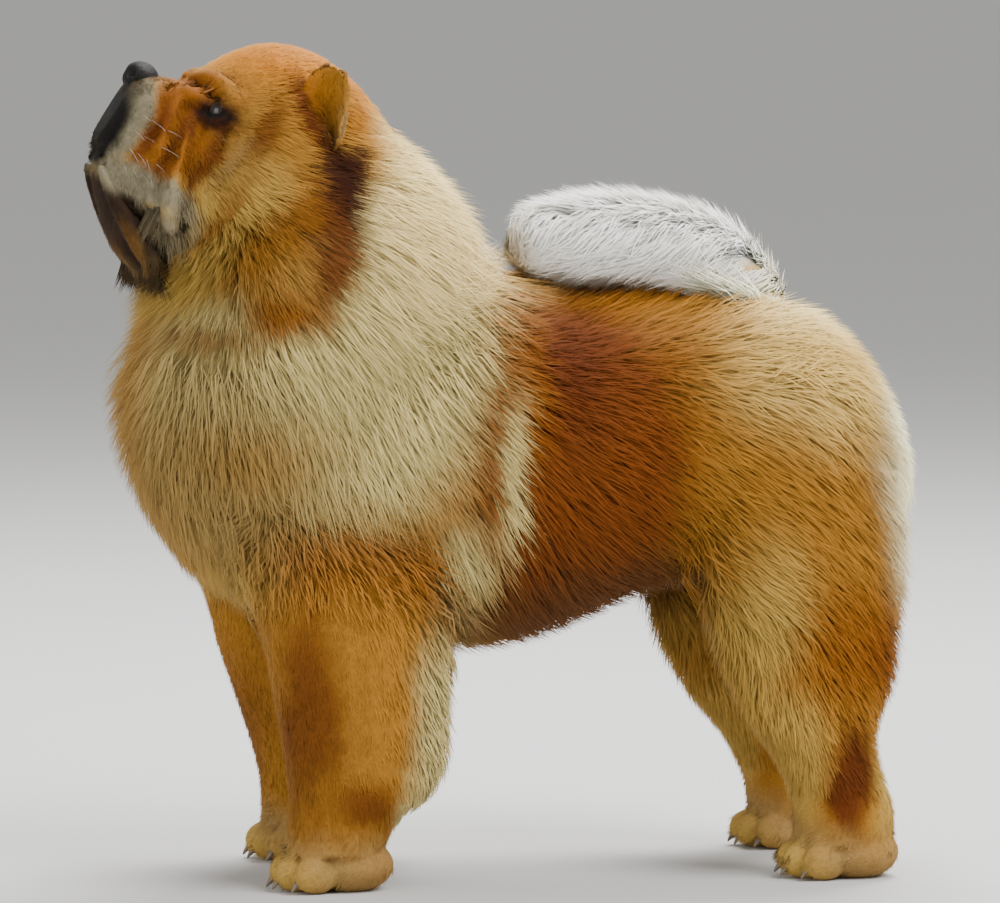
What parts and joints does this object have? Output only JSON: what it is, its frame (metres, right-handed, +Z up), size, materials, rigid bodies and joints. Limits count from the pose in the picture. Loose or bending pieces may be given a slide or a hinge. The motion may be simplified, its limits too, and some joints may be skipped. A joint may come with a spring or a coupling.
{
  "type": "chow chow dog, still life-size model",
  "caption": "Still life-size model of a thick-coated chow chow standing square with its head raised and its plume tail carried over the back.",
  "frame": {"origin": "on the ground midway between the outermost points of the coat, front to back and side to side", "axes": "+Z up, -X towards the dog's nose, -Y towards its left side"},
  "size_m": [0.6778, 0.3752, 0.6786],
  "materials": {
    "saddle": "dense red-brown fur",
    "ruff": "long cream and gold fur",
    "face": "short plush gold fur",
    "ear": "short gold fur",
    "leg": "plush gold fur",
    "paw": "short cream fur",
    "plume": "long white fur",
    "leather": "damp black skin of nose and lips",
    "eye": "wet dark brown"
  },
  "bodies": {
    "root": {"torso": "saddle", "neck": "ruff", "head": "face", "lower_jaw": "leather", "nose": "leather", "eye_left": "eye", "eye_right": "eye", "ear_left": "ear", "ear_right": "ear", "foreleg_left": "leg", "foreleg_right": "leg", "hindleg_left": "leg", "hindleg_right": "leg", "forepaw_left": "paw", "forepaw_right": "paw", "hindpaw_left": "paw", "hindpaw_right": "paw", "tail": "plume"}
  },
  "joints": []
}
